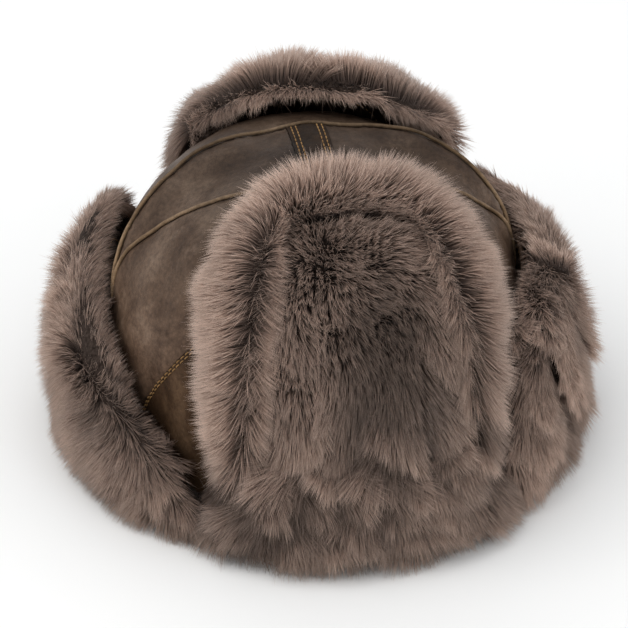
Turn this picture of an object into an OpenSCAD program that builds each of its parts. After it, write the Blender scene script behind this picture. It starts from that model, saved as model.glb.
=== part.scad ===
// Trapper hat with a leather crown and four fur-lined flaps, all turned up.
// Front is -Y, up is +Z, and the head opening stands on z = 0. Left and right are the wearer's.

/* [Crown] */
// Half of the crown's width, at its outer leather
crown_half_w = 102; // [95:1:108]
// Half of the crown's depth, front to back
crown_half_d = 114; // [106:1:120]
// Height of the crown's top above the table
crown_h = 150; // [145:1:152]
// Height where the upright side wall turns into the dome
wall_h = 55; // [45:1:65]
// Roundness of the dome: 2 is an ellipse, more is boxier
dome_e = 2.3; // [2:0.1:2.8]

/* [Crown seams] */
// How far the arched front seam stands ahead of the crown's middle
front_seam_y = 34; // [30:1:40]
// How far the arched back seam stands behind the crown's middle
back_seam_y = 30; // [24:1:36]
// Height of the lower front seam at the hat's middle
inset_seam_h = 127; // [115:1:130]
// Half of the centre strip's width
strip_half_w = 9.5; // [7:0.5:12]

/* [Layers] */
// Thickness of the crown's leather
leather_t = 2; // [1.5:0.1:2.5]
// Clearance between the crown's leather and its wadding
wadding_gap = 2.2; // [2:0.1:2.4]
// Thickness of the wadding under the leather
wadding_t = 4.5; // [4.2:0.1:4.8]
// Thickness of the quilted lining
lining_t = 1.2; // [1:0.1:1.4]
// Thickness of the sweatband
sweatband_t = 2; // [1.5:0.1:2.2]
// Clearance between the crown's wadding, lining and sweatband
layer_gap = 1.3; // [1.2:0.1:1.4]

/* [Head opening] */
// Height of the leather binding around the head opening
rim_h = 5; // [4:0.5:6]
// Height of the sweatband's upper edge
sweatband_top = 45; // [35:1:50]

/* [Flaps] */
// Clearance between the crown and a flap turned up against it
flap_gap = 2.5; // [2.3:0.1:3]
// Thickness of a flap's leather
flap_leather_t = 1.6; // [1.2:0.1:1.8]
// Thickness of a flap's interlining
interlining_t = 2.5; // [2:0.1:2.7]
// Lowest edge of a flap's leather
flap_z = 6; // [6:0.5:8]
// Height of the brow flap's own arch over the crown's front
brow_h = 162; // [158:1:168]
// Half of the brow flap's leather width
brow_half_w = 54; // [48:1:56]
// Height of the nape flap's own arch over the crown's back
nape_h = 152; // [152:1:160]
// Half of the nape flap's leather width
nape_half_w = 52; // [48:1:53]
// How far the nape flap's free edge leans towards the wearer's left
nape_lean = 8; // [0:1:8]
// Height of an ear flap's fur at its rear, where it is highest
ear_rear_h = 104; // [98:1:108]
// Height of the left ear flap's fur at its front end, where it lies against the brow flap
left_ear_front_h = 78; // [70:1:84]
// Height of the right ear flap's fur at its front end, where it has slipped down
right_ear_front_h = 34; // [30:1:40]

/* [Fur] */
// Depth of the brow and nape flaps' fur
brow_pile = 32; // [26:1:34]
// Depth of an ear flap's fur
ear_pile = 26; // [20:1:28]
// How far the fur stands out past a flap's leather edge
pile_margin = 20; // [14:1:21]
// Half of the gap line between a brow or nape flap and the ear flaps
corner_x = 77.5; // [77:0.5:79]

/* [Press studs] */
// Height of the press studs above the table
stud_z = 45; // [40:1:50]
// Radius of a stud's flange and of its socket
stud_r = 6; // [5:0.5:7]
// Radius of the stud's head
stud_head_r = 2.3; // [2:0.1:2.5]

/* [Hidden] */

leather_colour = "#5a483c";
strip_colour = "#65503d";
fur_colour = "#6f5e54";
thread_colour = "#9a7340";
lining_colour = "#3a302a";
brass_colour = "#8a6f45";

FRONT = -1;
BACK = 1;
LEFT = 1;
RIGHT = -1;

// Depths of the crown's layers under the outer leather, as negative offsets
wadding_out = -leather_t - wadding_gap;
wadding_in = wadding_out - wadding_t;
lining_out = wadding_in - layer_gap;
lining_in = lining_out - lining_t;
sweatband_out = lining_in - layer_gap;
sweatband_in = sweatband_out - sweatband_t;
panel_z = rim_h + 0.3;

// Offsets of a flap's layers outside the crown
flap_gap_inner = 0.8;
interlining_in = flap_gap + flap_leather_t + flap_gap_inner;
fur_in = interlining_in + interlining_t + flap_gap_inner;
interlining_inset = 6;

// Columns around half of the crown, closer together towards the side points of the top
half_steps = 14;
side_th = 89.7;
half_th = [for (k = [0 : half_steps]) side_th * sin(90 * k / half_steps)];
front_th = concat([for (k = [half_steps : -1 : 1]) -half_th[k]], half_th);
back_left_th = [for (k = [half_steps : -1 : 0]) 180 - half_th[k]];
back_right_th = [for (k = [0 : half_steps]) 180 + half_th[k]];
back_th = concat(back_left_th, [for (k = [1 : half_steps]) back_right_th[k]]);
ring_th = concat(front_th, back_th);

// ---- Shape of the crown ----
// th runs around the crown from the front towards +X. m is 0 at the top, 1 where the dome meets the
// upright wall and 2 at the wall's foot. d is the offset outwards from the crown's outer leather.

function rho_at(m) = m >= 1 ? 1 : pow(sin(90 * m), 2 / dome_e);

function z_at(m, h, foot) = m >= 1
    ? wall_h + (m - 1) * (foot - wall_h)
    : wall_h + (h - wall_h) * pow(cos(90 * m), 2 / dome_e);

function m_at_z(z, foot) = z <= wall_h
    ? 1 + (wall_h - z) / (wall_h - foot)
    : acos(pow((z - wall_h) / (crown_h - wall_h), dome_e / 2)) / 90;

function crown_pt(th, m, d, foot = panel_z) = [
    (crown_half_w + d) * rho_at(m) * sin(th),
    -(crown_half_d + d) * rho_at(m) * cos(th),
    z_at(m, crown_h + d, foot)
];

// A point of the dome over the plan point (p, q), as shares of the crown's half width and depth
function plan_pt(p, q, d) = [
    (crown_half_w + d) * p,
    (crown_half_d + d) * q,
    wall_h + (crown_h + d - wall_h) * pow(max(0, 1 - pow(norm([p, q]), dome_e)), 1 / dome_e)
];

// ---- Seams of the crown ----
// The two arched seams close a pointed oval over the top of the crown.

seam_tip_x = crown_half_w + 1;
seam_power = 1.3;

function oval_y(x, depth) = depth * pow(max(0, 1 - pow(x / seam_tip_x, 2)), seam_power);

// Share of the crown's radius at which the oval's edge lies, in the direction th
function oval_rho(th, depth, lo = 0.05, hi = 0.995, n = 24) =
    let (mid = (lo + hi) / 2)
    let (x = crown_half_w * mid * sin(th), y = crown_half_d * mid * abs(cos(th)))
    n == 0 ? mid
    : y < oval_y(x, depth) ? oval_rho(th, depth, mid, hi, n - 1)
    : oval_rho(th, depth, lo, mid, n - 1);

function seam_m(th, depth) = asin(pow(oval_rho(th, depth), dome_e / 2)) / 90;

inset_th_max = 78;
inset_flatness = 2.6;
inset_power = 1.14;

function inset_z(th) =
    inset_seam_h * pow(max(0, 1 - pow(abs(th) / inset_th_max, inset_flatness)), inset_power);

// ---- Solids from grids of points ----

function flat_list(rows) = [for (row = rows) for (p = row) p];

function lerp(a, b, t) = a + (b - a) * t;

function quad(a, b, c, e) = [[a, b, c], [a, c, e]];

// Faces of a closed sheet: the outer grid, the inner grid after it, and the four edges
function sheet_faces(rows, cols) =
    let (n = rows * cols)
    let (cells = [for (i = [0 : rows - 2], j = [0 : cols - 2]) i * cols + j])
    let (last_row = (rows - 1) * cols)
    concat(
        [for (k = cells) for (f = quad(k, k + cols, k + cols + 1, k + 1)) f],
        [for (k = cells) for (f = quad(n + k, n + k + 1, n + k + cols + 1, n + k + cols)) f],
        [for (k = [0 : cols - 2]) for (f = quad(k, k + 1, n + k + 1, n + k)) f],
        [for (k = [last_row : last_row + cols - 2]) for (f = quad(k + 1, k, n + k, n + k + 1)) f],
        [for (k = [0 : cols : last_row - 1]) for (f = quad(k + cols, k, n + k, n + k + cols)) f],
        [for (k = [cols - 1 : cols : last_row - 1]) for (f = quad(k, k + cols, n + k + cols, n + k)) f]
    );

module sheet(outer, inner) {
    polyhedron(
        points = concat(flat_list(outer), flat_list(inner)),
        faces = sheet_faces(len(outer), len(outer[0]))
    );
}

// Faces of one side of a dome: rings of points from the foot up, closed with a fan at the apex
function dome_faces(rings, cols, start) =
    let (apex = start + rings * cols)
    concat(
        [for (i = [0 : rings - 2], j = [0 : cols - 1])
            let (a = start + i * cols + j, b = start + i * cols + (j + 1) % cols)
            for (f = quad(a, a + cols, b + cols, b)) f],
        [for (j = [0 : cols - 1])
            let (k = start + (rings - 1) * cols)
            [k + j, apex, k + (j + 1) % cols]]
    );

function reversed(faces) = [for (f = faces) [f[2], f[1], f[0]]];

// A dome-shaped layer of the crown between the offsets out and in
dome_m = [2, 1, 0.94, 0.86, 0.76, 0.64, 0.5, 0.36, 0.22, 0.1];

module dome_layer(out, in) {
    cols = len(ring_th);
    rings = len(dome_m);
    side = rings * cols + 1;
    function face_points(d) = concat(
        [for (m = dome_m) for (th = ring_th) crown_pt(th, m, d)],
        [[0, 0, crown_h + d]]
    );
    foot = [for (j = [0 : cols - 1])
        let (b = (j + 1) % cols)
        for (f = quad(j, b, side + b, side + j)) f];
    polyhedron(
        points = concat(face_points(out), face_points(in)),
        faces = concat(dome_faces(rings, cols, 0), reversed(dome_faces(rings, cols, side)), foot)
    );
}

// A thin round cord sewn along a path of points, with a square section standing on the leather
module bead(path, radius) {
    n = len(path);
    function along(i) =
        let (step = path[min(i + 1, n - 1)] - path[max(i - 1, 0)])
        step / norm(step);
    function up(i) = path[i] / norm(path[i]);
    function across(i) =
        let (c = cross(along(i), up(i)))
        c / norm(c);
    function ring(i) = [for (a = [45 : 90 : 315])
        path[i] + radius * (cos(a) * across(i) + sin(a) * cross(across(i), along(i)))];
    sides = [for (i = [0 : n - 2], j = [0 : 3])
        for (f = quad(4 * i + j, 4 * i + (j + 1) % 4, 4 * i + 4 + (j + 1) % 4, 4 * i + 4 + j)) f];
    ends = concat(quad(3, 2, 1, 0), [for (f = quad(0, 1, 2, 3)) [for (k = f) 4 * (n - 1) + k]]);
    polyhedron(points = [for (i = [0 : n - 1]) for (p = ring(i)) p], faces = concat(sides, ends));
}

// ---- Head opening ----

rim_sides = 72;

// The head opening's outline, at an offset from the crown's outer leather
module opening_outline(d) {
    polygon([for (k = [0 : rim_sides - 1])
        let (a = 360 * k / rim_sides)
        [(crown_half_w + d) * cos(a), (crown_half_d + d) * sin(a)]]);
}

module band(out, in, from, to) {
    translate([0, 0, from])
        linear_extrude(to - from)
            difference() {
                opening_outline(out);
                opening_outline(in);
            }
}

module rim_binding() {
    color(leather_colour) band(0, sweatband_in, 0, rim_h);
}

module sweatband() {
    color(lining_colour) band(sweatband_out, sweatband_in, panel_z, sweatband_top);
}

module crown_lining() {
    color(lining_colour) dome_layer(lining_out, lining_in);
}

module crown_wadding() {
    color("ivory") dome_layer(wadding_out, wadding_in);
}

// A blank care label sewn inside the sweatband at the back
module care_label() {
    label_w = 30;
    label_h = 18;
    label_t = 0.5;
    label_foot = 16;
    label_gap = 2.1;
    label_y = crown_half_d + sweatband_in - label_gap - label_t;
    color("gainsboro")
        translate([-label_w / 2, label_y, label_foot])
            cube([label_w, label_t, label_h]);
}

// ---- Leather panels of the crown ----

seam_gap = 0.25;

// A panel from its columns: the direction of each and the m of its upper and lower edge
module crown_panel(ths, tops, feet, rows) {
    function face_points(d) = [for (i = [0 : rows])
        [for (k = [0 : len(ths) - 1]) crown_pt(ths[k], lerp(tops[k], feet[k], i / rows), d)]];
    sheet(face_points(0), face_points(-leather_t));
}

// A small step down from a seam, so that two panels meet without biting
seam_step = 0.006;

module front_panel() {
    color(leather_colour)
        crown_panel(
            front_th,
            [for (th = front_th) seam_m(th, front_seam_y) + seam_step],
            [for (th = front_th) m_at_z(max(inset_z(th) + seam_gap, panel_z), panel_z)],
            14
        );
}

module front_inset_panel() {
    side_clearance = 1.5;
    ths = [for (th = front_th) if (abs(th) < inset_th_max - side_clearance) th];
    color(leather_colour)
        crown_panel(ths, [for (th = ths) m_at_z(inset_z(th) - seam_gap, panel_z)], [for (th = ths) 2], 10);
}

module back_panel(ths) {
    color(leather_colour)
        crown_panel(ths, [for (th = ths) seam_m(th, back_seam_y) + seam_step], [for (th = ths) 2], 16);
}

// Plan point, as shares of the half width and depth, on an arched seam at the direction th
function seam_plan(th, depth, shrink = seam_step) =
    let (r = oval_rho(th, depth) - shrink)
    [r * sin(th), -r * cos(th)];

// Direction in which an arched seam is x away from the hat's middle
function seam_th(x, depth) = atan2(x / crown_half_w, oval_y(x, depth) / crown_half_d);

module top_panel(side) {
    edge_x = strip_half_w + seam_gap;
    th_front = seam_th(edge_x, front_seam_y);
    th_back = seam_th(edge_x, back_seam_y);
    steps = 10;
    rows = 4;
    last_th = 89.2;
    function ease(k) = sin(90 * k / steps);
    function column(k, d) =
        let (front = seam_plan(lerp(th_front, last_th, ease(k)), front_seam_y))
        let (back = seam_plan(180 - lerp(th_back, last_th, ease(k)), back_seam_y))
        [for (i = [0 : rows])
            let (pq = lerp(front, back, i / rows))
            plan_pt(side * pq[0], pq[1], d)];
    function face_points(d) = [for (k = [0 : steps]) column(k, d)];
    color(leather_colour)
        if (side == LEFT) sheet(face_points(-leather_t), face_points(0));
        else sheet(face_points(0), face_points(-leather_t));
}

module centre_strip() {
    steps = 10;
    end_gap = 0.8;
    front_y = -oval_y(strip_half_w, front_seam_y) + end_gap;
    back_y = oval_y(strip_half_w, back_seam_y) - end_gap;
    function face_points(d) = [for (i = [0 : steps])
        [for (x = [-strip_half_w, 0, strip_half_w])
            plan_pt(x / crown_half_w, lerp(back_y, front_y, i / steps) / crown_half_d, d)]];
    color(strip_colour) sheet(face_points(0), face_points(-leather_t));
}

// ---- Welts and topstitching ----

welt_r = 0.8;
thread_r = 0.4;
bead_lift = 0.3;

module seam_welt(ths, depth) {
    color(leather_colour)
        bead([for (th = ths) crown_pt(th, seam_m(th, depth), welt_r + bead_lift)], welt_r);
}

// Two rows of thread, one along each edge of the centre strip
module centre_strip_stitching() {
    row_x = strip_half_w - 2.5;
    end_gap = 2;
    steps = 10;
    function row_y(x, t) = lerp(-oval_y(x, front_seam_y) + end_gap, oval_y(x, back_seam_y) - end_gap, t);
    color(thread_colour)
        for (x = [-row_x, row_x])
            bead(
                [for (i = [0 : steps])
                    plan_pt(x / crown_half_w, row_y(x, i / steps) / crown_half_d, thread_r + bead_lift)],
                thread_r
            );
}

module front_inset_stitching() {
    below_seam = 3;
    side_clearance = 3;
    ths = [for (th = front_th) if (abs(th) < inset_th_max - side_clearance) th];
    color(thread_colour)
        bead([for (th = ths)
            crown_pt(th, m_at_z(inset_z(th) - below_seam, panel_z), thread_r + bead_lift)], thread_r);
}

// ---- Press studs ----
// One pair behind each flap, at its middle. At rest the stud's head stands in the socket's hole.

flange_t = 0.8;
stud_h = 1.9;
stud_lift = 0.1;
socket_t = 0.9;
socket_lift = 1.1;
socket_clearance = 0.5;

// Puts a stud or socket, drawn standing on z = 0, on the crown's wall in the direction th
module on_wall(th) {
    reach = abs(sin(th)) > 0.5 ? crown_half_w : crown_half_d;
    rotate([0, 0, th - 90])
        translate([reach, 0, stud_z])
            rotate([0, 90, 0])
                children();
}

module stud() {
    translate([0, 0, stud_lift]) cylinder(h = flange_t, r = stud_r, $fn = 48);
    translate([0, 0, stud_lift]) cylinder(h = stud_h, r = stud_head_r, $fn = 32);
}

module crown_snap_studs() {
    color(brass_colour)
        for (th = [0 : 90 : 270])
            on_wall(th) stud();
}

module snap_socket(th) {
    color(brass_colour)
        on_wall(th)
            translate([0, 0, socket_lift])
                difference() {
                    cylinder(h = socket_t, r = stud_r, $fn = 48);
                    translate([0, 0, -1])
                        cylinder(h = socket_t + 2, r = stud_head_r + socket_clearance, $fn = 32);
                }
}

// ---- Brow and nape flaps ----
// u runs from -1 to 1 across the flap, and v from 0 at the fold to 1 at the free edge.

brow_top_m = 0.30;
nape_top_m = 0.25;
corner_drop = 0.36;
corner_power = 2.6;
pile_top_reach = 0.09;
interlining_drop = 0.04;
nape_side_inset = 2;

// Sideways shift of a flap at its free edge
function lean_of(facing) = facing == BACK ? nape_lean : 0;

// A point at x across the flap. facing is FRONT or BACK, and h is the height of the flap's own arch.
function cross_pt(x, m, d, h, facing) =
    let (share = x / (crown_half_w + d))
    let (r = rho_at(m))
    [x, facing * (crown_half_d + d) * sqrt(max(0, r * r - share * share)), z_at(m, h + d, flap_z)];

// The free edge is highest in the middle and drops to rounded corners
function edge_m(u, top_m) = top_m + corner_drop * pow(abs(u), corner_power);

function cross_grid_pt(u, v, half_w, top_m, d, h, facing) =
    cross_pt(u * half_w + lean_of(facing) * v, lerp(2, edge_m(u, top_m), v), d, h, facing);

// Columns across the flap and rows up it. The rows are closer together over the dome than up the wall.
cross_cols = 12;
cross_rows = 12;
row_ease = 0.6;

function row_v(i) = pow(i / cross_rows, row_ease);

module cross_sheet(half_w, top_m, h, facing, d_in, d_out) {
    function face_points(d) = [for (i = [0 : cross_rows])
        [for (j = [0 : cross_cols])
            cross_grid_pt(lerp(-1, 1, j / cross_cols), row_v(i), half_w, top_m, d, h, facing)]];
    if (facing == FRONT) sheet(face_points(d_in), face_points(d_out));
    else sheet(face_points(d_out), face_points(d_in));
}

// Share of the fur's full depth: full in the middle, thinner along the edges
function swell(t, edge_share, power) = edge_share + (1 - edge_share) * (1 - pow(abs(t), power));

// Beyond the leather's edge, the fur's inner face leans in towards the crown
fur_tuck = 4.6;

function tuck(u, v) =
    let (u_start = 0.84, v_start = 0.95)
    fur_tuck * max(0, (abs(u) - u_start) / (1 - u_start), (v - v_start) / (1 - v_start));

module cross_fur(half_w, top_m, h, facing) {
    side_share = 0.6;
    end_share = 0.5;
    edge_power = 4;
    function depth(u, v) =
        let (share = swell(u, side_share, edge_power) * swell(2 * v - 1, end_share, edge_power))
        fur_in + brow_pile * share;
    function face_points(outer) = [for (i = [0 : cross_rows])
        [for (j = [0 : cross_cols])
            let (u = lerp(-1, 1, j / cross_cols), v = row_v(i))
            cross_grid_pt(u, v, half_w, top_m, outer ? depth(u, v) : fur_in - tuck(u, v), h, facing)]];
    color(fur_colour)
        if (facing == FRONT) sheet(face_points(false), face_points(true));
        else sheet(face_points(true), face_points(false));
}

// A leather strip, binding_w wide, around the free edge of a brow or nape flap
binding_w = 3;
binding_gap = 0.4;
binding_extra_t = 0.4;

// Path up one side of a flap, along its free edge and down the other side, from the rows' places
function edge_path(vs, cols) = concat(
    [for (v = vs) [-1, v]],
    [for (j = [1 : cols - 1]) [lerp(-1, 1, j / cols), 1]],
    [for (i = [len(vs) - 1 : -1 : 0]) [1, vs[i]]]
);

module cross_binding(half_w, top_m, h, facing) {
    m_per_mm = 0.0065;
    function lifted(uv, mm, d) = cross_pt(
        uv[0] * half_w + lean_of(facing) * uv[1] + (abs(uv[0]) == 1 ? mm * sign(uv[0]) : 0),
        lerp(2, edge_m(uv[0], top_m), uv[1]) - (uv[1] == 1 ? mm * m_per_mm : 0),
        d, h, facing
    );
    path = edge_path([for (i = [0 : cross_rows]) row_v(i)], cross_cols);
    d_in = flap_gap - binding_extra_t / 2;
    d_out = flap_gap + flap_leather_t + binding_extra_t;
    function face_points(d) = [for (mm = [binding_gap, binding_gap + binding_w])
        [for (uv = path) lifted(uv, mm, d)]];
    color(leather_colour)
        if (facing == FRONT) sheet(face_points(d_out), face_points(d_in));
        else sheet(face_points(d_in), face_points(d_out));
}

flap_leather_out = flap_gap + flap_leather_t;
interlining_out = interlining_in + interlining_t;

module brow_flap_leather() {
    color(leather_colour)
        cross_sheet(brow_half_w, brow_top_m, brow_h, FRONT, flap_gap, flap_leather_out);
}

module brow_flap_interlining() {
    color("ivory")
        cross_sheet(
            brow_half_w - interlining_inset, brow_top_m + interlining_drop, brow_h, FRONT,
            interlining_in, interlining_out
        );
}

module brow_flap_fur() {
    cross_fur(brow_half_w + pile_margin, brow_top_m - pile_top_reach, brow_h, FRONT);
}

module brow_flap_binding() {
    cross_binding(brow_half_w, brow_top_m, brow_h, FRONT);
}

module brow_snap_socket() {
    snap_socket(0);
}

module nape_flap_leather() {
    color(leather_colour)
        cross_sheet(nape_half_w, nape_top_m, nape_h, BACK, flap_gap, flap_leather_out);
}

module nape_flap_interlining() {
    color("ivory")
        cross_sheet(
            nape_half_w - interlining_inset, nape_top_m + interlining_drop, nape_h, BACK,
            interlining_in, interlining_out
        );
}

module nape_flap_fur() {
    cross_fur(nape_half_w + pile_margin - nape_side_inset, nape_top_m - pile_top_reach, nape_h, BACK);
}

module nape_flap_binding() {
    cross_binding(nape_half_w, nape_top_m, nape_h, BACK);
}

module nape_snap_socket() {
    snap_socket(180);
}

// ---- Ear flaps ----
// u runs from 0 at the front end to 1 at the rear end, and v from 0 at the fold to 1 at the free edge.
// An ear flap's ends lie in the plane x = end_x, so that the flaps never meet as they turn.

ear_peak_u = 0.78;
ear_rise_power = 1.4;
ear_rear_drop = 22;
ear_leather_inset = 12;

function ear_top_z(side, u) =
    let (front_h = side == LEFT ? left_ear_front_h : right_ear_front_h)
    u < ear_peak_u
        ? ear_rear_h - (ear_rear_h - front_h) * pow((ear_peak_u - u) / ear_peak_u, ear_rise_power)
        : ear_rear_h - ear_rear_drop * pow((u - ear_peak_u) / (1 - ear_peak_u), 2);

function ear_pt(side, u, v, d, end_x, lower) =
    let (m = lerp(2, m_at_z(ear_top_z(side, u) - lower, flap_z), v))
    let (r = rho_at(m))
    let (th_end = asin(min(1, end_x / ((crown_half_w + d) * r))))
    let (th = lerp(th_end, 180 - th_end, u))
    [
        side * (crown_half_w + d) * r * sin(th),
        -(crown_half_d + d) * r * cos(th),
        z_at(m, crown_h + d, flap_z)
    ];

module ear_solid(side, inner, outer) {
    if (side == LEFT) sheet(inner, outer);
    else sheet(outer, inner);
}

ear_cols = 16;
ear_rows = 8;

module ear_sheet(side, d_in, d_out, end_x, lower) {
    function face_points(d) = [for (i = [0 : ear_rows])
        [for (j = [0 : ear_cols]) ear_pt(side, j / ear_cols, i / ear_rows, d, end_x, lower)]];
    ear_solid(side, face_points(d_in), face_points(d_out));
}

module ear_leather(side) {
    color(leather_colour)
        ear_sheet(side, flap_gap, flap_leather_out, corner_x + ear_leather_inset, ear_leather_inset);
}

module ear_interlining(side) {
    inset = ear_leather_inset + interlining_inset;
    color("ivory")
        ear_sheet(side, interlining_in, interlining_out, corner_x + inset, inset);
}

module ear_fur(side) {
    end_x = corner_x + 1;
    end_share = 0.75;
    edge_share = 0.55;
    edge_power = 4;
    function depth(u, v) =
        let (share = swell(2 * u - 1, end_share, edge_power) * swell(2 * v - 1, edge_share, edge_power))
        fur_in + ear_pile * share;
    function face_points(outer) = [for (i = [0 : ear_rows])
        [for (j = [0 : ear_cols])
            let (u = j / ear_cols, v = i / ear_rows)
            ear_pt(side, u, v, outer ? depth(u, v) : fur_in, end_x, 0)]];
    color(fur_colour) ear_solid(side, face_points(false), face_points(true));
}

module ear_binding(side) {
    path = [for (p = edge_path([for (i = [0 : ear_rows]) i / ear_rows], ear_cols)) [(p[0] + 1) / 2, p[1]]];
    d_in = flap_gap - binding_extra_t / 2;
    d_out = flap_leather_out + binding_extra_t;
    function lifted(p, mm, d) =
        let (lower = ear_leather_inset - (p[1] == 1 ? mm : 0))
        ear_pt(side, p[0], p[1], d, corner_x + ear_leather_inset - mm, lower);
    function face_points(d) = [for (mm = [binding_gap, binding_gap + binding_w])
        [for (p = path) lifted(p, mm, d)]];
    color(leather_colour) ear_solid(side, face_points(d_out), face_points(d_in));
}

module left_ear_flap_leather() ear_leather(LEFT);
module left_ear_flap_interlining() ear_interlining(LEFT);
module left_ear_flap_fur() ear_fur(LEFT);
module left_ear_flap_binding() ear_binding(LEFT);
module left_ear_snap_socket() snap_socket(90);
module right_ear_flap_leather() ear_leather(RIGHT);
module right_ear_flap_interlining() ear_interlining(RIGHT);
module right_ear_flap_fur() ear_fur(RIGHT);
module right_ear_flap_binding() ear_binding(RIGHT);
module right_ear_snap_socket() snap_socket(270);

module top_panel_left() top_panel(LEFT);
module top_panel_right() top_panel(RIGHT);
module back_panel_left() back_panel(back_left_th);
module back_panel_right() back_panel(back_right_th);
module front_seam_welt() seam_welt(front_th, front_seam_y);
module back_seam_welt() seam_welt(back_th, back_seam_y);

rim_binding();
sweatband();
crown_lining();
crown_wadding();
front_panel();
front_inset_panel();
top_panel_left();
top_panel_right();
centre_strip();
back_panel_left();
back_panel_right();
front_seam_welt();
back_seam_welt();
centre_strip_stitching();
front_inset_stitching();
care_label();
crown_snap_studs();
brow_flap_leather();
brow_flap_interlining();
brow_flap_fur();
brow_flap_binding();
brow_snap_socket();
nape_flap_leather();
nape_flap_interlining();
nape_flap_fur();
nape_flap_binding();
nape_snap_socket();
left_ear_flap_leather();
left_ear_flap_interlining();
left_ear_flap_fur();
left_ear_flap_binding();
left_ear_snap_socket();
right_ear_flap_leather();
right_ear_flap_interlining();
right_ear_flap_fur();
right_ear_flap_binding();
right_ear_snap_socket();
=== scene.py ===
"""Trapper hat: leather crown and four fur flaps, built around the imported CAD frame. Metres, row frame."""
import math

import bmesh
import bpy
import numpy as np
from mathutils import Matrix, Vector


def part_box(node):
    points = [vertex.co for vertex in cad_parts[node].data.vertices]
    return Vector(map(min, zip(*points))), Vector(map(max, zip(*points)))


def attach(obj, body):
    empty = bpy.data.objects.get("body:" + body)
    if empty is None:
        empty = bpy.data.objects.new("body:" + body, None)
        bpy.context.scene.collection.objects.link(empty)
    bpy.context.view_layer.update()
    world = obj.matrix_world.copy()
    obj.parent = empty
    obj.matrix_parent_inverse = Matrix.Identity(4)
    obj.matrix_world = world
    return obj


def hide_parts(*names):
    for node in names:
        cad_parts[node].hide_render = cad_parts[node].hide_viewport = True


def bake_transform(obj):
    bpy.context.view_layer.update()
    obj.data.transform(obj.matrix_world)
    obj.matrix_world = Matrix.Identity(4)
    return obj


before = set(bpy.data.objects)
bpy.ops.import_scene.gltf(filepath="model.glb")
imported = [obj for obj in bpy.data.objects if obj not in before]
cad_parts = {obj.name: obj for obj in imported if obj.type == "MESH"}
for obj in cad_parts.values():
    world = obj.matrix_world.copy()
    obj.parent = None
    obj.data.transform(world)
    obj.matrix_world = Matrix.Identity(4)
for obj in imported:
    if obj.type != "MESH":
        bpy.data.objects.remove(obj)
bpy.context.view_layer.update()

MM = 0.001
UV_MAP = "OFBake"
HARD_EDGE = math.radians(50)

# ----------------------------------------
# Sizes. HALF_W, HALF_D, TOP and RIM come from the CAD nodes; the rest repeat the CAD model's values.
# ----------------------------------------
HALF_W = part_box("rim_binding")[1].x
HALF_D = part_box("rim_binding")[1].y
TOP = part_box("centre_strip")[1].z
WALL = 55 * MM      # height of the upright wall under the dome
ROUND = 2.3         # power of the dome's superellipse
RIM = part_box("rim_binding")[1].z
PANEL_FOOT = RIM + 0.3 * MM
FLAP_FOOT = 6 * MM
LEATHER = 1.6 * MM
FRONT_SEAM = 34 * MM
BACK_SEAM = 30 * MM
INSET_H = 127 * MM
INSET_END = 78      # degrees round from the front
STRIP_HALF = 9.5 * MM
FLAP_GAP = 2.5 * MM
FUR_IN = 8.6 * MM   # from the crown out to the back of the fur
BROW_H = 162 * MM
NAPE_H = 152 * MM
NAPE_LEAN = 8 * MM
FRONT, BACK = -1, 1
LEFT, RIGHT = 1, -1


# ----------------------------------------
# Small helpers
# ----------------------------------------
def lerp(a, b, t):
    return a + (b - a) * t


def smooth(x, lo, hi):
    """0 below lo, 1 above hi, smooth between."""
    t = np.clip((x - lo) / (hi - lo), 0, 1)
    return t * t * (3 - 2 * t)


def unit(v):
    return v / np.maximum(np.linalg.norm(v, axis=-1, keepdims=True), 1e-12)


def lattice(ix, iy, iz, seed):
    """A repeatable random number from -1 to 1 at each whole-number lattice point."""
    h = (ix * 73856093) ^ (iy * 19349663) ^ (iz * 83492791) ^ (seed * 2654435761 % 2147483647)
    h = (h ^ (h >> 13)) * 1274126177 & 0x7FFFFFFF
    h = (h ^ (h >> 16)) & 0xFFFFF
    return h / 0x7FFFF - 1.0


def noise(p, size, seed):
    """Smooth value noise from -1 to 1, with features of about size metres."""
    q = p / size + 1000.0
    i = np.floor(q).astype(np.int64)
    f = q - i
    f = f * f * (3 - 2 * f)
    total = 0.0
    for dx in (0, 1):
        wx = f[..., 0] if dx else 1 - f[..., 0]
        for dy in (0, 1):
            wy = f[..., 1] if dy else 1 - f[..., 1]
            for dz in (0, 1):
                wz = f[..., 2] if dz else 1 - f[..., 2]
                total = total + wx * wy * wz * lattice(i[..., 0] + dx, i[..., 1] + dy, i[..., 2] + dz, seed)
    return total


def noise3(p, size, seed):
    """Three independent noises, as a vector."""
    return np.stack([noise(p, size, seed + 101 * k) for k in range(3)], -1)


def mesh_object(name, verts, faces, uv):
    """A mesh object from arrays: verts (n, 3), faces (m, 3 or 4), uv one pair for each vertex."""
    mesh = bpy.data.meshes.new(name)
    verts = np.asarray(verts, np.float32)
    faces = np.asarray(faces, np.int32)
    sides = faces.shape[1]
    mesh.vertices.add(len(verts))
    mesh.vertices.foreach_set("co", verts.ravel())
    mesh.loops.add(faces.size)
    mesh.loops.foreach_set("vertex_index", faces.ravel())
    mesh.polygons.add(len(faces))
    mesh.polygons.foreach_set("loop_start", np.arange(0, faces.size, sides, dtype=np.int32))
    mesh.polygons.foreach_set("use_smooth", np.ones(len(faces), bool))
    layer = mesh.uv_layers.new(name=UV_MAP)
    layer.data.foreach_set("uv", np.asarray(uv, np.float32)[faces.ravel()].ravel())
    mesh.update()
    mesh.validate()
    obj = bpy.data.objects.new(f"{name}_visual" if name in bpy.data.objects else name, mesh)
    bpy.context.scene.collection.objects.link(obj)
    return obj


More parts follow.
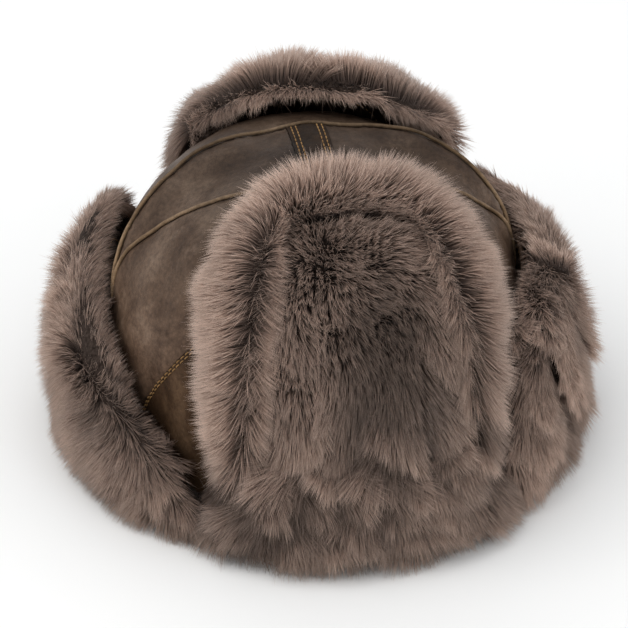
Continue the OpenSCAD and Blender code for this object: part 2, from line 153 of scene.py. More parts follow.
def sharpen(obj):
    """Marks edges sharper than HARD_EDGE as hard."""
    bm = bmesh.new()
    bm.from_mesh(obj.data)
    for e in bm.edges:
        if len(e.link_faces) == 2 and e.calc_face_angle(0) > HARD_EDGE:
            e.smooth = False
    bm.to_mesh(obj.data)
    bm.free()
    return obj


def sheet_solid(name, outer, inner, closed=False):
    """A closed solid from two grids (rows, cols, 3) of points: an outer and an inner skin and the edges."""
    rows, cols = outer.shape[:2]
    n = rows * cols
    index = np.arange(n).reshape(rows, cols)
    if closed:
        index = np.concatenate([index, index[:, :1]], axis=1)
    a, b, c, d = index[:-1, :-1], index[:-1, 1:], index[1:, 1:], index[1:, :-1]
    cells = np.stack([a, b, c, d], -1).reshape(-1, 4)
    parts = [cells, cells[:, ::-1] + n]
    edges = [index[0], index[-1][::-1]]
    if not closed:
        edges += [index[:, 0][::-1], index[:, -1]]
    for line in edges:
        parts.append(np.stack([line[1:], line[:-1], line[:-1] + n, line[1:] + n], -1))
    s, t = np.meshgrid(np.linspace(0, 1, cols), np.linspace(0, 1, rows))
    uv = np.stack([s, t], -1).reshape(-1, 2)
    half = [0.48, 0.98]
    uvs = np.concatenate([uv * half + [0.01, 0.01], uv * half + [0.51, 0.01]])
    obj = mesh_object(name, np.concatenate([outer.reshape(-1, 3), inner.reshape(-1, 3)]),
                      np.concatenate(parts), uvs)
    return turn_outward(obj)


def turn_outward(obj, close=False):
    """Makes a mesh's faces point out, with its holes filled first if close is set."""
    bm = bmesh.new()
    bm.from_mesh(obj.data)
    if close:
        bmesh.ops.holes_fill(bm, edges=[e for e in bm.edges if len(e.link_faces) == 1], sides=0)
    bmesh.ops.recalc_face_normals(bm, faces=bm.faces)
    bm.to_mesh(obj.data)
    bm.free()
    return obj


def tubes(name, paths, radius, sides=6):
    """Round cords along several paths, each (n, 3), as closed tubes with tapered ends."""
    verts, faces, uvs, start = [], [], [], 0
    angles = np.arange(sides) * 2 * np.pi / sides
    for path in paths:
        path = np.asarray(path, float)
        n = len(path)
        tangent = unit(np.gradient(path, axis=0))
        side = unit(np.cross(tangent, unit(path)))
        up = np.cross(side, tangent)
        r = np.full(n, radius)
        r[[0, -1]] *= 0.55
        ring = (path[:, None] + r[:, None, None] * (np.cos(angles)[None, :, None] * side[:, None]
                                                    + np.sin(angles)[None, :, None] * up[:, None]))
        verts.append(ring.reshape(-1, 3))
        k = start + np.arange(n * sides).reshape(n, sides)
        nxt = np.roll(k, -1, axis=1)
        faces.append(np.stack([k[:-1], nxt[:-1], nxt[1:], k[1:]], -1).reshape(-1, 4))
        for ends in (k[0][::-1], k[-1]):
            for j in range(1, sides - 2, 2):
                faces.append(np.array([[ends[0], ends[j], ends[j + 1], ends[j + 2]]]))
        t = np.repeat(np.linspace(0.02, 0.98, n), sides)
        a = np.tile(np.arange(sides) / sides, n)
        uvs.append(np.stack([t, a * 0.9 + 0.05], -1))
        start += n * sides
    return turn_outward(mesh_object(name, np.concatenate(verts), np.concatenate(faces), np.concatenate(uvs)))


# ----------------------------------------
# Materials
# ----------------------------------------
MIX_A, MIX_B, MIX_RESULT = 6, 7, 2      # the colour sockets of a Mix node


class Nodes:
    """Builds a procedural material: a Principled shader and the nodes that feed it."""

    def __init__(self, name, roughness=0.6, specular=0.4):
        self.material = bpy.data.materials.new(name)
        self.material.use_nodes = True
        self.tree = self.material.node_tree
        self.tree.nodes.clear()
        out = self.add("ShaderNodeOutputMaterial")
        self.shader = self.add("ShaderNodeBsdfPrincipled")
        self.shader.inputs["Roughness"].default_value = roughness
        self.shader.inputs["Specular IOR Level"].default_value = specular
        self.link(self.shader.outputs[0], out.inputs[0])
        self.place = self.add("ShaderNodeTexCoord").outputs["Object"]

    def add(self, kind, **values):
        node = self.tree.nodes.new(kind)
        for key, value in values.items():
            setattr(node, key, value)
        return node

    def link(self, a, b):
        self.tree.links.new(a, b)

    def feed(self, socket, value):
        """Sets a socket to a number or a colour, or links another node's output to it."""
        if isinstance(value, tuple):
            socket.default_value = (*value, 1)
        elif isinstance(value, (int, float)):
            socket.default_value = value
        else:
            self.link(value, socket)

    def noise(self, scale, detail=4.0, roughness=0.55, distortion=0.0):
        node = self.add("ShaderNodeTexNoise")
        node.inputs["Scale"].default_value = scale
        node.inputs["Detail"].default_value = detail
        node.inputs["Roughness"].default_value = roughness
        node.inputs["Distortion"].default_value = distortion
        self.link(self.place, node.inputs["Vector"])
        return node.outputs["Fac"]

    def cells(self, scale):
        node = self.add("ShaderNodeTexVoronoi", feature="DISTANCE_TO_EDGE")
        node.inputs["Scale"].default_value = scale
        self.link(self.place, node.inputs["Vector"])
        return node.outputs["Distance"]

    def ramp(self, value, stops):
        """stops: (position, colour) pairs; a colour is a grey number or three linear values."""
        node = self.add("ShaderNodeValToRGB")
        band = node.color_ramp
        while len(band.elements) < len(stops):
            band.elements.new(0.5)
        for element, (position, colour) in zip(band.elements, stops):
            rgb = (colour,) * 3 if isinstance(colour, (int, float)) else colour
            element.position = position
            element.color = (*rgb, 1)
        self.link(value, node.inputs["Fac"])
        return node.outputs["Color"]

    def mix(self, factor, a, b, blend="MIX"):
        node = self.add("ShaderNodeMix", data_type="RGBA", blend_type=blend)
        for number, value in ((0, factor), (MIX_A, a), (MIX_B, b)):
            self.feed(node.inputs[number], value)
        return node.outputs[MIX_RESULT]

    def math(self, operation, a, b):
        node = self.add("ShaderNodeMath", operation=operation)
        self.feed(node.inputs[0], a)
        self.feed(node.inputs[1], b)
        return node.outputs[0]

    def bump(self, height, strength, distance, under=None):
        node = self.add("ShaderNodeBump")
        node.inputs["Strength"].default_value = strength
        node.inputs["Distance"].default_value = distance
        self.link(height, node.inputs["Height"])
        if under is not None:
            self.link(under, node.inputs["Normal"])
        self.link(node.outputs[0], self.shader.inputs["Normal"])
        return node.outputs[0]

    def paint(self, colour, roughness=None):
        self.link(colour, self.shader.inputs["Base Color"])
        if roughness is not None:
            self.link(roughness, self.shader.inputs["Roughness"])
        return self.material


HEIGHT_SHADE = [(0.095, 1.60), (0.140, 0.98), (0.175, 0.50)]    # (height in metres, brightness): painted light and shade, brighter low on the crown and darker to the top


def leather_material(name, dark, mid, light, gloss):
    """Waxed, distressed leather: mottled colour, rubbed light patches, fine pebble grain and creases."""
    n = Nodes(name, specular=0.13)
    mottle = n.ramp(n.noise(28, 7, 0.68, 0.4), [(0.34, dark), (0.50, mid), (0.68, light)])
    rub = n.ramp(n.noise(9, 5, 0.55, 0.8), [(0.42, 0.0), (0.72, 1.0)])
    scuffed = n.mix(rub, mottle, light)
    soft = n.mix(0.45, mottle, scuffed)
    pores = n.ramp(n.cells(1500), [(0.0, 0.62), (0.16, 1.0)])
    specks = n.ramp(n.noise(420, 3, 0.7), [(0.34, 0.60), (0.62, 1.25)])
    grained = n.mix(0.55, soft, n.mix(1.0, soft, pores, "MULTIPLY"))
    colour = n.mix(0.6, grained, n.mix(1.0, grained, specks, "MULTIPLY"))
    # Painted light and shade: the colour is multiplied by a ramp on height. It is brighter low down and
    # darker towards the top, which gets less light.
    place = n.add("ShaderNodeNewGeometry")
    split = n.add("ShaderNodeSeparateXYZ")
    n.link(place.outputs["Position"], split.inputs[0])
    height = n.math("ADD", split.outputs[2], n.math("MULTIPLY", n.noise(16, 4, 0.6), 0.05))
    wear_and_shade = n.ramp(height, HEIGHT_SHADE)
    colour = n.mix(1.0, colour, wear_and_shade, "MULTIPLY")
    shine = n.ramp(n.noise(60, 5, 0.6), [(0.3, gloss - 0.08), (0.7, gloss + 0.16)])
    grain = n.bump(n.cells(1300), 0.5, 0.0003)
    creases = n.bump(n.noise(190, 5, 0.65, 1.2), 0.75, 0.0007, grain)
    n.bump(n.noise(45, 4, 0.5), 0.6, 0.0024, creases)
    return n.paint(colour, shine)


def fur_material(name, root, low, mid, tip):
    """Fur whose colour runs along each hair. U of the UV map is the place along the hair, V its tone, which
    also carries painted light and shade.
    """
    n = Nodes(name, roughness=0.62, specular=0.22)
    uv = n.add("ShaderNodeUVMap", uv_map=UV_MAP)
    split = n.add("ShaderNodeSeparateXYZ")
    n.link(uv.outputs[0], split.inputs[0])
    # The light tips are the fur's own frosting. The near-black roots are partly the fur's own darker base
    # and partly painted shade deep in the pile.
    along = n.ramp(split.outputs[0], [(0.0, root), (0.30, low), (0.66, mid), (0.97, tip)])
    tone = n.ramp(split.outputs[1], [(0.02, 0.30), (0.35, 0.72), (0.65, 1.0), (0.98, 1.3)])
    n.shader.inputs["Sheen Weight"].default_value = 0.12
    n.shader.inputs["Sheen Roughness"].default_value = 0.45
    n.shader.inputs["Sheen Tint"].default_value = (0.9, 0.8, 0.74, 1)
    return n.paint(n.mix(1.0, along, tone, "MULTIPLY"))


def underfur_material(name, dark, light):
    n = Nodes(name, roughness=0.9, specular=0.1)
    clumps = n.ramp(n.noise(500, 5, 0.7), [(0.35, dark), (0.68, light)])
    n.bump(n.noise(700, 3, 0.6), 0.8, 0.001)
    return n.paint(clumps)


def cloth_material(name, dark, light, thread_scale, roughness):
    """Woven cloth: crossed threads, a little colour drift and soft bumps."""
    n = Nodes(name, roughness=roughness, specular=0.3)
    waves = []
    for direction in ("X", "Z"):
        wave = n.add("ShaderNodeTexWave", bands_direction=direction)
        wave.inputs["Scale"].default_value = thread_scale
        wave.inputs["Distortion"].default_value = 0.6
        n.link(n.place, wave.inputs["Vector"])
        waves.append(wave.outputs["Fac"])
    weave = n.math("MAXIMUM", waves[0], waves[1])
    drift = n.ramp(n.noise(60, 4), [(0.3, dark), (0.7, light)])
    colour = n.mix(0.35, drift, n.mix(1.0, drift, n.ramp(weave, [(0.2, 0.6), (0.9, 1.1)]), "MULTIPLY"))
    n.shader.inputs["Sheen Weight"].default_value = 0.15
    n.bump(weave, 0.3, 0.0003)
    return n.paint(colour)


def thread_material(name, dark, light):
    n = Nodes(name, roughness=0.65, specular=0.3)
    twist = n.add("ShaderNodeTexWave", bands_direction="DIAGONAL")
    twist.inputs["Scale"].default_value = 1400
    n.link(n.place, twist.inputs["Vector"])
    colour = n.mix(twist.outputs["Fac"], n.ramp(n.noise(150, 3), [(0.3, dark), (0.7, light)]), dark)
    n.bump(twist.outputs["Fac"], 0.5, 0.0002)
    return n.paint(colour)


def brass_material(name):
    n = Nodes(name, specular=0.5)
    n.shader.inputs["Metallic"].default_value = 1.0
    wear_and_shade = n.ramp(n.noise(300, 5, 0.65), [(0.35, (0.12, 0.075, 0.035)), (0.62, (0.46, 0.31, 0.14))])
    n.bump(n.noise(900, 3), 0.2, 0.0001)
    return n.paint(wear_and_shade, n.ramp(n.noise(200, 4), [(0.3, 0.25), (0.7, 0.5)]))


LEATHER_SKIN = leather_material("crown_leather", (0.038, 0.021, 0.013), (0.094, 0.058, 0.038),
                                (0.190, 0.130, 0.092), 0.48)
STRIP_SKIN = leather_material("strip_leather", (0.016, 0.008, 0.0035), (0.038, 0.020, 0.010),
                              (0.085, 0.050, 0.028), 0.6)
WELT_SKIN = leather_material("worn_edge_leather", (0.085, 0.050, 0.025), (0.230, 0.148, 0.084),
                             (0.360, 0.250, 0.160), 0.5)
FLAP_SKIN = leather_material("flap_leather", (0.018, 0.010, 0.006), (0.042, 0.025, 0.016),
                             (0.080, 0.052, 0.036), 0.42)
FUR = fur_material("fur", (0.020, 0.011, 0.008), (0.110, 0.072, 0.056), (0.390, 0.268, 0.210),
                   (0.820, 0.610, 0.500))
UNDERFUR = underfur_material("underfur", (0.012, 0.007, 0.005), (0.060, 0.042, 0.034))
LINING = cloth_material("lining", (0.020, 0.014, 0.011), (0.045, 0.034, 0.028), 1100, 0.42)
SWEATBAND = cloth_material("sweatband", (0.030, 0.022, 0.018), (0.070, 0.053, 0.043), 700, 0.8)
WADDING = cloth_material("wadding", (0.60, 0.56, 0.50), (0.78, 0.74, 0.68), 500, 0.9)
THREAD = thread_material("thread", (0.200, 0.105, 0.035), (0.560, 0.330, 0.130))
BRASS = brass_material("brass")
LABEL = cloth_material("label", (0.50, 0.48, 0.44), (0.70, 0.68, 0.63), 1500, 0.7)


def finish_piece(obj, body, material, replaces=()):
    """Gives a new piece its material and body, and hides the CAD nodes that it stands for."""
    obj.data.materials.clear()
    obj.data.materials.append(material)
    if body is not None:
        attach(obj, body)
    if replaces:
        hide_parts(*replaces)


def repaint(node, material):
    """A CAD node that stays as it is gets a better material in its slots."""
    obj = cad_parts[node]
    for s in obj.material_slots:
        s.material = material
    if not obj.material_slots:
        obj.data.materials.append(material)


# ----------------------------------------
# The crown's shape. th runs round from the front towards +X, in radians. m is 0 at the top, 1 where
# the dome meets the upright wall and 2 at its foot. d is the offset outwards.
# ----------------------------------------
def rho_at(m):
    return np.sin(np.pi / 2 * np.clip(m, 0, 1)) ** (2 / ROUND)


def z_at(m, h, foot):
    dome = WALL + (h - WALL) * np.maximum(np.cos(np.pi / 2 * np.clip(m, 0, 1)), 0) ** (2 / ROUND)
    return np.where(m >= 1, WALL + (m - 1) * (foot - WALL), dome)


def m_at_z(z, foot):
    share = np.clip((z - WALL) / (TOP - WALL), 0, 1)
    return np.where(z <= WALL, 1 + (WALL - z) / (WALL - foot), np.arccos(share ** (ROUND / 2)) / (np.pi / 2))


def crown_pt(th, m, d):
    r = rho_at(m)
    return np.stack([(HALF_W + d) * r * np.sin(th), -(HALF_D + d) * r * np.cos(th),
                     z_at(m, TOP + d, PANEL_FOOT) + 0 * th], -1)


def plan_pt(p, q, d):
    """The same surface, by its place in plan: p and q are shares of the half width and half depth."""
    r = np.hypot(p, q)
    z = WALL + (TOP + d - WALL) * np.maximum(1 - r ** ROUND, 0) ** (1 / ROUND)
    return np.stack([(HALF_W + d) * p, (HALF_D + d) * q, z], -1)


def oval_y(x, depth):
    """How far from the crown's middle line an arched seam lies, at x."""
    return depth * np.maximum(1 - (x / (HALF_W + 1 * MM)) ** 2, 0) ** 1.3


BISECTIONS = 24


def oval_rho(th, depth):
    """Share of the crown's radius at which an arched seam lies, in the direction th."""
    lo, hi = np.full_like(th, 0.05), np.full_like(th, 0.995)
    for _ in range(BISECTIONS):
        mid = (lo + hi) / 2
        inside = HALF_D * mid * np.abs(np.cos(th)) < oval_y(HALF_W * mid * np.sin(th), depth)
        lo, hi = np.where(inside, mid, lo), np.where(inside, hi, mid)
    return (lo + hi) / 2


def seam_m(th, depth):
    return np.arcsin(oval_rho(th, depth) ** (ROUND / 2)) / (np.pi / 2)


def inset_z(th):
    """Height of the lower front seam."""
    return INSET_H * np.maximum(1 - (np.abs(np.degrees(th)) / INSET_END) ** 2.6, 0) ** 1.14


def slouch(p):
    """How the soft crown leaves its ideal dome: a crest along the back seam, dents and slack folds."""
    x, y = p[..., 0], p[..., 1]
    up = smooth(p[..., 2], 60 * MM, 120 * MM)
    crest_line = oval_y(np.abs(x), BACK_SEAM)
    crest = 6.5 * MM * np.exp(-((y - crest_line) / (11 * MM)) ** 2) * smooth(np.abs(x), 18 * MM, 60 * MM)
    middle = (oval_y(np.abs(x), BACK_SEAM) - oval_y(np.abs(x), FRONT_SEAM)) / 2
    dent = -4.0 * MM * np.exp(-((y - middle) / (16 * MM)) ** 2) * np.exp(
        -((np.abs(x) - 52 * MM) / (26 * MM)) ** 2)
    slack = (1.6 * MM * noise(p, 42 * MM, 5) + 0.7 * MM * noise(p, 17 * MM, 9)
             + 0.25 * MM * noise(p, 6 * MM, 13))
    lifted = crest * up + dent * up + slack * smooth(p[..., 2], 4 * MM, 30 * MM)
    out = unit(p * [1, 1, 0.9] + [0, 0, 1e-4])
    return p + out * lifted[..., None]


ROLL_DEPTH = 1.3 * MM
ROLL_REACH = 5 * MM
GATHER_REACH = 7 * MM


def seam_roll(distance):
    """Leather rolls down into a seam: ROLL_DEPTH below the surface there, fading over ROLL_REACH."""
    return -ROLL_DEPTH * np.exp(-np.maximum(distance, 0) / ROLL_REACH * 2.2)


def edge_distance(grid):
    """Distance of each grid point from the grid's first and last row, along its column."""
    step = np.linalg.norm(np.diff(grid, axis=0), axis=-1)
    run = np.concatenate([np.zeros((1, grid.shape[1])), np.cumsum(step, axis=0)])
    return run, run[-1:] - run


def puckers(s, size, amount):
    """Small gathers across a seam, along its length s."""
    return amount * noise(np.stack([s, 0 * s, 0 * s], -1), size, 21)


def build_panel(name, point, columns, rows, roll=(1, 1), material=LEATHER_SKIN):
    """A leather panel. point(t, c, d) gives the ideal surface. roll says how much its top and foot edges
    roll into their seams."""
    t, c = np.meshgrid(np.linspace(0, 1, rows), np.linspace(0, 1, columns), indexing="ij")
    ideal = point(t, c, 0.0)
    from_top, from_foot = edge_distance(ideal)
    sunk = roll[0] * seam_roll(from_top) + roll[1] * seam_roll(from_foot)
    gather = np.exp(-from_top / GATHER_REACH) * roll[0] + np.exp(-from_foot / GATHER_REACH) * roll[1]
    sunk = sunk + gather * puckers(c * 0.3, 4 * MM, 0.35 * MM)
    normal = unit(ideal * [1 / HALF_W ** 2, 1 / HALF_D ** 2, 0.6 / HALF_D ** 2] + [0, 0, 1e-9])
    outer = slouch(ideal) + normal * sunk[..., None]
    inner = slouch(point(t, c, -LEATHER)) + normal * sunk[..., None]
    finish_piece(sharpen(sheet_solid(name, outer, inner)), "crown", material, [name])


SEAM_STEP = 0.004           # how far past an arched seam a panel starts, as a step of m
SIDE = math.radians(89.7)   # how far round a front or back panel reaches


def front_panel_pt(t, c, d):
    th = SIDE * np.sin(np.pi / 2 * (2 * c - 1))
    top = seam_m(th, FRONT_SEAM) + SEAM_STEP
    foot = m_at_z(np.maximum(inset_z(th) - 0.15 * MM, PANEL_FOOT), PANEL_FOOT)
    return crown_pt(th, lerp(top, foot, t), d)


def inset_pt(t, c, d):
    th = math.radians(INSET_END - 1.5) * np.sin(np.pi / 2 * (2 * c - 1))
    top = m_at_z(np.maximum(inset_z(th) - 0.2 * MM, PANEL_FOOT + 0.5 * MM), PANEL_FOOT)
    return crown_pt(th, lerp(top, 2.0, t), d)


def back_panel_pt(side):
    def point(t, c, d):
        th = np.pi - side * SIDE * np.sin(np.pi / 2 * c)
        return crown_pt(th, lerp(seam_m(th, BACK_SEAM) + SEAM_STEP, 2.0, t), d)
    return point


def top_panel_pt(side):
    """t runs from the front seam to the back seam, c from the strip to the side point."""
    def point(t, c, d):
        x = lerp(STRIP_HALF + 0.3 * MM, HALF_W - 0.8 * MM, np.sin(np.pi / 2 * c))
        y = lerp(-oval_y(x, FRONT_SEAM) + 0.4 * MM, oval_y(x, BACK_SEAM) - 0.4 * MM, t)
        return plan_pt(side * x / HALF_W, y / HALF_D, d)
    return point


def strip_pt(t, c, d):
    x = lerp(-STRIP_HALF, STRIP_HALF, c)
    y = lerp(-oval_y(STRIP_HALF, FRONT_SEAM) + 0.6 * MM, oval_y(STRIP_HALF, BACK_SEAM) - 0.6 * MM, t)
    return plan_pt(x / HALF_W, y / HALF_D, d + 0.7 * MM)


def stitch_row(line, stitch=3.0 * MM, gap=1.3 * MM, lift=0.25 * MM):
    """Short paths for the separate stitches along a line of points, each arching over the leather."""
    step = np.linalg.norm(np.diff(line, axis=0), axis=1)
    run = np.concatenate([[0], np.cumsum(step)])
    paths = []
    start = 0.0
    while start + stitch < run[-1]:
        s = start + stitch * np.array([0, 0.2, 0.5, 0.8, 1])
        pts = np.stack([np.interp(s, run, line[:, k]) for k in range(3)], -1)
        paths.append(pts + unit(pts) * (lift * np.array([-1.6, 0.6, 1, 0.6, -1.6]))[:, None])
        start += stitch + gap
    return paths


def build_crown():
    build_panel("front_panel", front_panel_pt, 150, 44)
    build_panel("front_inset_panel", inset_pt, 110, 44, roll=(1.2, 0), material=STRIP_SKIN)
    for side, word in ((LEFT, "left"), (RIGHT, "right")):
        build_panel(f"top_panel_{word}", top_panel_pt(side), 60, 36)
        build_panel(f"back_panel_{word}", back_panel_pt(side), 90, 56, roll=(1, 0))
    build_panel("centre_strip", strip_pt, 12, 60, material=STRIP_SKIN)

    c = np.linspace(0, 1, 160)
    th = SIDE * np.sin(np.pi / 2 * (2 * c - 1))
    welts = (("front_seam_welt", FRONT_SEAM, th), ("back_seam_welt", BACK_SEAM, np.pi - th))
    for name, depth, angles in welts:
        line = slouch(crown_pt(angles, seam_m(angles, depth), 0.15 * MM))
        finish_piece(tubes(name, [line], 0.95 * MM, 8), "crown", WELT_SKIN, [name])

    t = np.linspace(0.02, 0.98, 80)
    rows = []
    for x in (-1, 1):
        for inset in (2.0 * MM, 4.3 * MM):
            c = 0.5 + x * 0.5 * (1 - inset / STRIP_HALF)
            rows += stitch_row(slouch(strip_pt(t, np.full_like(t, c), 0.1 * MM)), 2.6 * MM, 1.1 * MM)
    finish_piece(tubes("centre_strip_stitching", rows, 0.32 * MM), "crown", THREAD,
                 ["centre_strip_stitching"])

    th = np.radians(np.linspace(3 - INSET_END, INSET_END - 3, 200))
    rows = []
    for below in (2.4 * MM, 4.6 * MM):
        line = slouch(crown_pt(th, m_at_z(inset_z(th) - below, PANEL_FOOT), -0.1 * MM))
        rows += stitch_row(line, 2.8 * MM, 1.2 * MM)
    finish_piece(tubes("front_inset_stitching", rows, 0.33 * MM), "crown", THREAD,
                 ["front_inset_stitching"])


BINDING_WIDTH = 14.2 * MM


def build_inside():
    """The binding, sweatband, quilted lining, wadding and label inside the crown."""
    repaint("care_label", LABEL)
    repaint("crown_snap_studs", BRASS)

    th = np.linspace(0, 2 * np.pi, 161)[:-1]
    # the binding: a leather strip rolled round the opening's edge
    section = [(0.0, 0.9), (0.10, 0.25), (0.3, 0.0), (0.7, 0.0), (0.92, 0.25), (1.0, 0.9), (0.95, 0.985),
               (0.5, 1.0), (0.05, 0.985)]
    grid = []
    for across, up in section:
        d = -lerp(0.0, BINDING_WIDTH, across)
        grid.append(np.stack([(HALF_W + d) * np.sin(th), -(HALF_D + d) * np.cos(th), 0 * th + up * RIM], -1))
    grid = np.array(grid)
    wrinkle = 0.25 * MM * noise(grid, 5 * MM, 31)
    grid[..., 2] = np.clip(grid[..., 2] + wrinkle * (grid[..., 2] > 0.1 * MM), 0, RIM)
    finish_piece(loop_solid("rim_binding", grid), "crown", FLAP_SKIN, ["rim_binding"])

    # the sweatband: a ribbed cloth band
    low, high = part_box("sweatband")[0].z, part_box("sweatband")[1].z
    z = np.linspace(low, high, 22)[:, None] + 0 * th[None]
    ribs = 0.25 * MM * np.sin(th * 260)[None] * np.ones_like(z)
    out_d = (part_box("sweatband")[1].x - HALF_W) + 0 * z
    in_d = out_d - 1.7 * MM + ribs + 0.5 * MM * noise(
        np.stack([np.cos(th)[None] + 0 * z, np.sin(th)[None] + 0 * z, z * 10], -1), 0.2, 33)
    wall = lambda d: np.stack([(HALF_W + d) * np.sin(th), -(HALF_D + d) * np.cos(th), z], -1)
    band = sharpen(sheet_solid("sweatband", wall(out_d), wall(in_d), closed=True))
    finish_piece(band, "crown", SWEATBAND, ["sweatband"])

    # the wadding follows the leather's slack folds
    m = np.linspace(2.0, 0.03, 60)[:, None] + 0 * th[None]
    angle = th[None] + 0 * m
    outer = slouch(crown_pt(angle, m, -2.3 * MM))
    inner = lerp(slouch(crown_pt(angle, m, -8.6 * MM)), crown_pt(angle, m, -9.2 * MM), 0.75)
    batt = sheet_solid("crown_wadding", outer, inner, closed=True)
    turn_outward(batt, close=True)
    finish_piece(batt, "crown", WADDING, ["crown_wadding"])

    # the quilted lining: puffed between diagonal rows of stitching
    m = np.linspace(2.0, 0.03, 90)[:, None] + 0 * th[None]
    angle = th[None] + 0 * m
    across = np.abs(np.sin(6 * angle + 7 * m)) * np.abs(np.sin(6 * angle - 7 * m))
    puff = 2.0 * MM * np.sqrt(np.clip(across, 0, 1)) * smooth(m, 0.03, 0.3)
    lining_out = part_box("crown_lining")[1].x - HALF_W
    outer = crown_pt(angle, m, lining_out)
    inner = crown_pt(angle, m, 0.0) + (crown_pt(angle, m, -1.0) - crown_pt(angle, m, 0.0)) * (
        -lining_out + 1.0 * MM + puff)[..., None]
    cap = sheet_solid("crown_lining", outer, inner, closed=True)
    turn_outward(cap, close=True)
    finish_piece(cap, "crown", LINING, ["crown_lining"])


def loop_solid(name, grid):
    """A solid ring from a closed section (rows) swept round (cols)."""
    rows, cols = grid.shape[:2]
    index = np.arange(rows * cols).reshape(rows, cols)
    a = index
    b = np.roll(index, -1, axis=1)
    c = np.roll(b, -1, axis=0)
    d = np.roll(index, -1, axis=0)
    faces = np.stack([a, b, c, d], -1).reshape(-1, 4)
    s, t = np.meshgrid(np.linspace(0.01, 0.99, cols), np.linspace(0.01, 0.99, rows))
    uv = np.stack([s, t], -1).reshape(-1, 2)
    return turn_outward(mesh_object(name, grid.reshape(-1, 3), faces, uv))


# ----------------------------------------
# Flaps. u runs from -1 to 1 across a flap, v from 0 at the fold to 1 at the free edge, d is the
# offset outwards from the crown.
# ----------------------------------------
class CrossFlap:
    """The brow or nape flap, turned up against the crown's front or back."""

    def __init__(self, name, facing, half_w, height, top_m, lip, spread, lean):
        self.name, self.facing, self.half_w, self.height = name, facing, half_w, height
        self.top_m, self.lip, self.spread, self.lean = top_m, lip, spread, lean
        self.out = np.array([0.0, facing, 0.0])

    def pt(self, u, v, d, grow=0.0, side=(0.0, 0.0)):
        """grow widens the flap all round, in metres, and side adds to that at its -X and +X sides."""
        top = self.top_m + 0.36 * np.abs(u) ** 2.6 - grow * 4.6
        m = lerp(2.0, top, v)
        r = rho_at(m)
        wider = grow + self.spread * smooth(1 - v, 0.5, 1.0) + np.where(u < 0, side[0], side[1])
        x = u * (self.half_w + wider) + self.lean * v
        y = np.sqrt(np.maximum(r ** 2 - (x / (HALF_W + d)) ** 2, 1e-6))
        return np.stack([x + 0 * v, self.facing * (HALF_D + d) * y, z_at(m, self.height + d, FLAP_FOOT)], -1)


class EarFlap:
    """An ear flap, turned up along one side of the crown. Its u runs from the front end to the rear end."""

    def __init__(self, name, side, front_drop):
        self.name, self.side, self.front_drop, self.lip = name, side, front_drop, 2.5 * MM
        self.out = np.array([float(side), 0.0, 0.0])

    def pt(self, u, v, d, grow=0.0, side=(0.0, 0.0)):
        s = (u + 1) / 2
        peak = 0.78
        rise = np.maximum(peak - s, 0) / peak
        fall = np.maximum(s - peak, 0) / (1 - peak)
        top = np.maximum(EAR_TOP - self.front_drop * rise ** 1.4 - 20 * MM * fall ** 2 + grow, 16 * MM)
        m = lerp(2.0, m_at_z(top, FLAP_FOOT), v)
        r = rho_at(m)
        front = side[0] * smooth(1 - v, 0.25, 0.7) * smooth(1 - s, 0.6, 1.0)
        end = np.arcsin(np.clip((EAR_END - grow - front) / ((HALF_W + d) * r), -1, 1))
        th = lerp(end, np.pi - end, s)
        return np.stack([self.side * (HALF_W + d) * r * np.sin(th), -(HALF_D + d) * r * np.cos(th),
                         z_at(m, TOP + d, FLAP_FOOT)], -1)


EAR_TOP = 92 * MM   # height of an ear flap's leather
EAR_END = 88 * MM   # distance of its two ends from the hat's middle plane
BROW = CrossFlap("brow_flap", FRONT, half_w=54 * MM, height=BROW_H, top_m=0.30, lip=2.5 * MM,
                 spread=12 * MM, lean=0.0)
NAPE = CrossFlap("nape_flap", BACK, half_w=52 * MM, height=NAPE_H, top_m=0.25, lip=3.5 * MM,
                 spread=9 * MM, lean=NAPE_LEAN)
LEFT_EAR = EarFlap("left_ear_flap", LEFT, front_drop=8 * MM)
RIGHT_EAR = EarFlap("right_ear_flap", RIGHT, front_drop=64 * MM)


def fold_blend(obj):
    """Bakes the object's transform into its mesh."""
    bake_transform(obj)


def lip(flap, u, v):
    """The free edge of the leather curls up, away from the crown, most at its middle."""
    return smooth(v, 0.84, 1.0) * flap.lip * (1 - 0.75 * np.abs(u) ** 3)


EDGE_RADIUS = 1.3 * MM      # of a flap's binding; LEATHER_SHORT is how far its fur goes past its leather
LEATHER_SHORT = {BROW: 1.5 * MM, NAPE: 11 * MM, LEFT_EAR: 5 * MM, RIGHT_EAR: 5 * MM}


